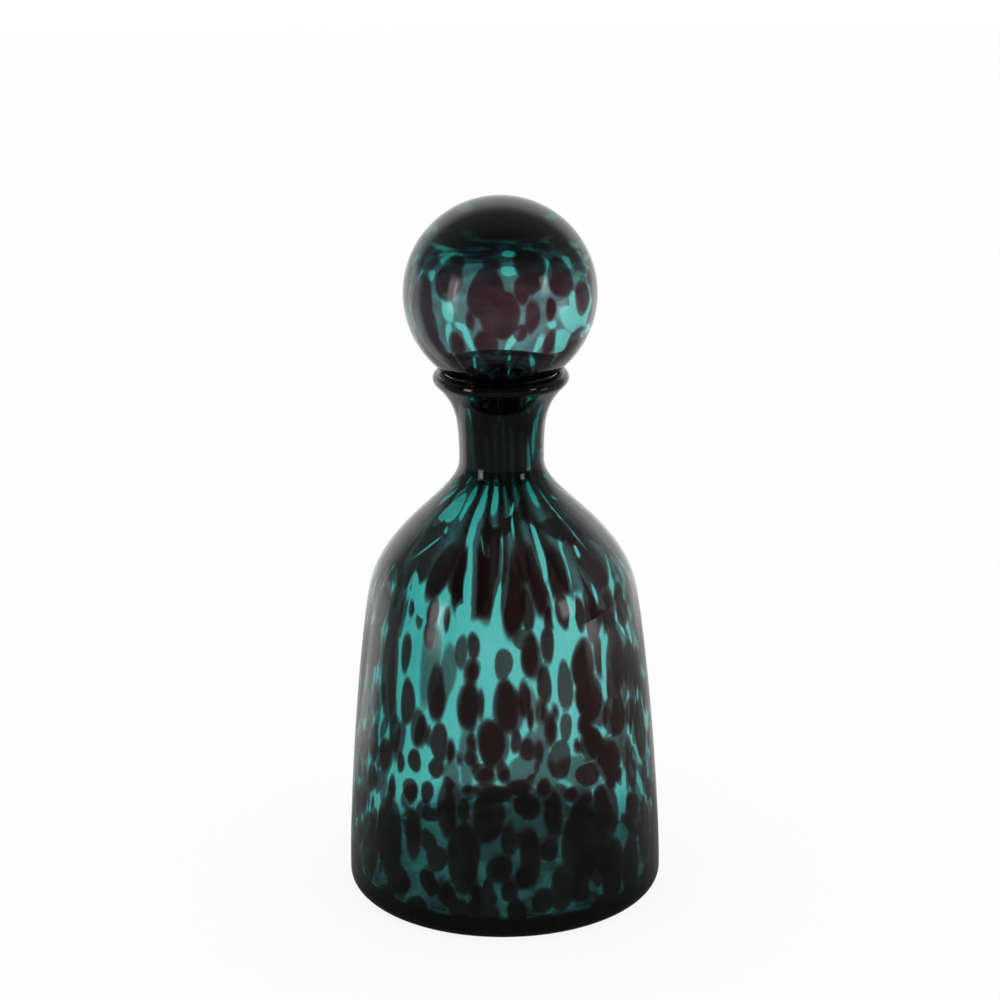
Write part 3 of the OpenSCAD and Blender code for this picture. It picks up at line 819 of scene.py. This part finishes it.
# Chips on the ball, placed as those on the bottle, from the top down
ball_chips = [
    (-16, 314, 19, 6, 2), (-5.5, 309, 8, 5.5, 2), (-8, 296, 17, 21, 2), (0, 287, 16.5, 21, 2),
    (19, 308, 14, 13, 2), (19, 302.5, 10.5, 13, 2), (39, 301.5, 13, 17.5, 2),
    (12.5, 298, 6.5, 11.5, 1), (18.5, 286, 7, 15, 2), (-17.5, 284.5, 4, 11, 2),
    (-30.5, 308, 10.5, 7.5, 2), (-32.5, 300.5, 13, 16, 2), (-53, 308.5, 12, 9.5, 2),
    (-52.5, 288, 15, 27, 2), (-47.5, 279, 11.5, 20, 2), (-52, 267, 20, 20, 2),
    (-28, 272.5, 7.5, 12.5, 2), (-8.5, 274.5, 10.5, 11.5, 2), (11.5, 279, 6.5, 7.5, 1),
    (56, 290.5, 11, 15.5, 2), (58, 307, 10.5, 8.5, 2), (31, 272.5, 6, 13, 2), (57, 269.5, 14, 16, 2),
    (30, 288.5, 5.5, 10, 1.5), (30.5, 314.5, 10, 5.5, 2), (10, 315.5, 10.5, 3, 2),
    (-42.5, 316.5, 8, 3, 2), (-57, 316, 9, 3.5, 2), (50.5, 314.5, 10, 4, 1.5), (68, 298, 6, 7, 1)]
# Where the far side is clear, as it shows from the front
ball_windows = [
    (-38, 312.5, 8.5, 2.5, 0), (-39, 309.5, 2, 4, 0), (5.5, 313, 5.5, 1.5, 0), (4.5, 306, 6, 3, 0),
    (-48, 302, 3, 3.5, 0), (-32.5, 287.5, 5.5, 9, 0), (-35, 293, 2.5, 4.5, 0), (-34, 276.5, 2, 9, 0.5),
    (-21, 275, 2, 11.5, -4.5), (-24, 280.5, 2.5, 3, -7), (5.5, 275, 2, 8.5, 6.5), (23, 273, 2, 8, 4),
    (30, 281.5, 3, 2, 0), (44.5, 289, 5, 11, 0), (46, 282, 13, 10.5, 0), (40, 271.5, 6, 11, 1.5),
    (56, 280.5, 9.5, 4.5, 0), (31, 305, 1.5, 8.5, 3.5), (47.5, 308.5, 2.5, 6.5, -6),
    (73, 307.5, 12, 4, 0)]
# and where the crown and the dark collar round the plug are
crown_gaps = [
    (-62, 328.5, 13, 2, 0), (-147, 324.5, 15, 5, 0), (68.5, 324.5, 10, 2, 0), (128, 323.5, 12, 5, 0),
    (1, 318, 23, 1, 0), (8.5, 317.5, 8, 1, 0), (19, 315, 3, 1, 0), (38.5, 316, 2.5, 1, 0),
    (-76, 317, 4, 3, 0), (-54, 319.5, 3, 1, 0), (-30, 263.5, 1, 8, -3.5), (-18, 264.5, 1, 8, 1),
    (5.5, 264, 1, 9, 0), (22.5, 263, 2, 9, -5), (39.5, 261.5, 1.5, 6.5, 0), (-45, 262.5, 1.5, 8, -5)]
# The ball's far side has a skin of its own instead of chips
placed_chips = chip_rows(ball_chips, ball_radius, seen_through_ball, math.inf)
# Scattered chips: the share of the tries that go to the crown, and its heights; the turns on either
# side and the heights of the others; and the half sizes at each height
crown_tries_share, crown_low_mm, crown_high_mm = 0.4, 319, 332
ball_from_deg, ball_to_deg, ball_low_mm, ball_high_mm = 66, 114, 258, 320
ball_chip_at_mm, ball_half_w_mm, ball_half_l_mm = (250, 262, 294, 330), (4, 5.5, 7, 7), (8, 9, 10, 4)


def ball_place(rng):
    """A place out of the front's view: on the crown, or on either side."""
    if rng.uniform() < crown_tries_share:
        return rng.uniform(-math.pi, math.pi), rng.uniform(crown_low_mm, crown_high_mm)
    turn = rng.choice([-1, 1]) * math.radians(rng.uniform(ball_from_deg, ball_to_deg))
    return turn, rng.uniform(ball_low_mm, ball_high_mm)


def ball_chip_size(height):
    """Half width and half length of a scattered chip on the ball at a height."""
    half_w = np.interp(height, ball_chip_at_mm, ball_half_w_mm)
    return half_w, np.interp(height, ball_chip_at_mm, ball_half_l_mm)


ball_tries, ball_crowd = 1500, 0.85
chips = scatter_chips(rng, ball_tries, ball_place, ball_chip_size, ball_radius, placed_chips, ball_crowd)
outer = ball_outside[::-1]
edge, thick = chip_fields(outer[:, 1], around, chips, ball_radius)
# The chips ran together in a blotched skin on the back, which starts just past the sides with a wavy
# edge, and in a thick cap on the crown, whose wavy edge comes lower at the back
skin_from_deg, skin_above_mm, skin_wave_mm = 96, 249.5, 3
skin_thick, blotch_thick = 0.75, 0.25
crown_from_mm, crown_dip_mm, crown_thick = 316, 3, 1.4
up = outer[:, 1:]
dip_mm = crown_dip_mm * (1 - np.cos(turn_at)) - np.sin(3 * turn_at)
crown = np.maximum(up - crown_from_mm + dip_mm, no_chip)
behind = np.abs(turned(turn_at)) - math.radians(skin_from_deg)
skin = ball_r_mm * behind + skin_wave_mm * np.sin(up / 3.7)
skin = np.maximum(crown, np.where(up > skin_above_mm, skin, no_chip))
blotches = np.sin(9 * turn_at + 2 * np.sin(up / 6)) * np.sin(up / 4.5 + 2 * np.sin(5 * turn_at))
cover_thick = np.where(crown > 0, crown_thick, skin_thick + blotch_thick * blotches)
thick = np.where(skin > edge, cover_thick, thick)
edge = np.maximum(edge, skin)
# and in a dark collar round the foot of the ball and the top of the plug, which is open at the back
# and has a slit at the front of the plug
collar_to_mm, collar_open_mm, collar_thick = 268.5, 40, 1.6
slit_at_deg, slit_half_deg = -2, 3
slit = 1 - np.abs((np.degrees(turn_at) - slit_at_deg) / slit_half_deg)
collar = collar_to_mm + np.sin(5 * turn_at + 1) + 0.5 * np.sin(8 * turn_at) - up
collar = collar + collar_open_mm * np.minimum(np.cos(turn_at), 0)
collar = np.where(up < fillet_at[1], np.minimum(collar, -slit), collar)
collar = np.where(up < plug_top[1], no_chip, collar)
thick = np.where(collar > edge, collar_thick, thick)
edge = np.maximum(edge, collar)
# The windows are cleared on the far side and the gaps on the near side, all above the plug
window_soft_mm, window_grow_mm, crown_gap_soft_mm = 1.3, 0.8, 0.8
windows = gap_rows(ball_windows, ball_radius, seen_through_ball, window_soft_mm, window_grow_mm)
windows = windows[len(ball_windows):]
gaps = gap_rows(crown_gaps, ball_radius, seen_through_ball, crown_gap_soft_mm, 0)[:len(crown_gaps)]
clear = chip_fields(outer[:, 1], around, np.concatenate([windows, gaps]), ball_radius)[0]
edge = np.where(up > fillet_at[1], np.minimum(edge, -clear), edge)
# Only the plug's outside is ground, and not its bore. The pole of the crown is as dark as the cap.
bore_side_mm, pole_edge = 0.3, 2
on_plug = ground_rows(stopper_rows) * (stopper_rows[..., 0] > joint_end[0] - bore_side_mm)
put_field(stopper, "chip_edge", edge, no_chip, [pole_edge, no_chip])
put_field(stopper, "chip_thickness", thick, 1, [crown_thick, 1])
put_field(stopper, "ground_glass", on_plug, 0, [0, 0])
stopper.data.materials.append(spotted_glass("spotted_teal_ball_glass", "#5bbab2", "#ba727c"))
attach(stopper, "stopper")
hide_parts("stopper")

# Picture: plain colours, and enough bounces for light to find its way through eight walls of glass
scene = bpy.context.scene
scene.view_settings.view_transform = "Standard"
scene.cycles.max_bounces = 40
scene.cycles.transmission_bounces = 40
scene.cycles.glossy_bounces = 12
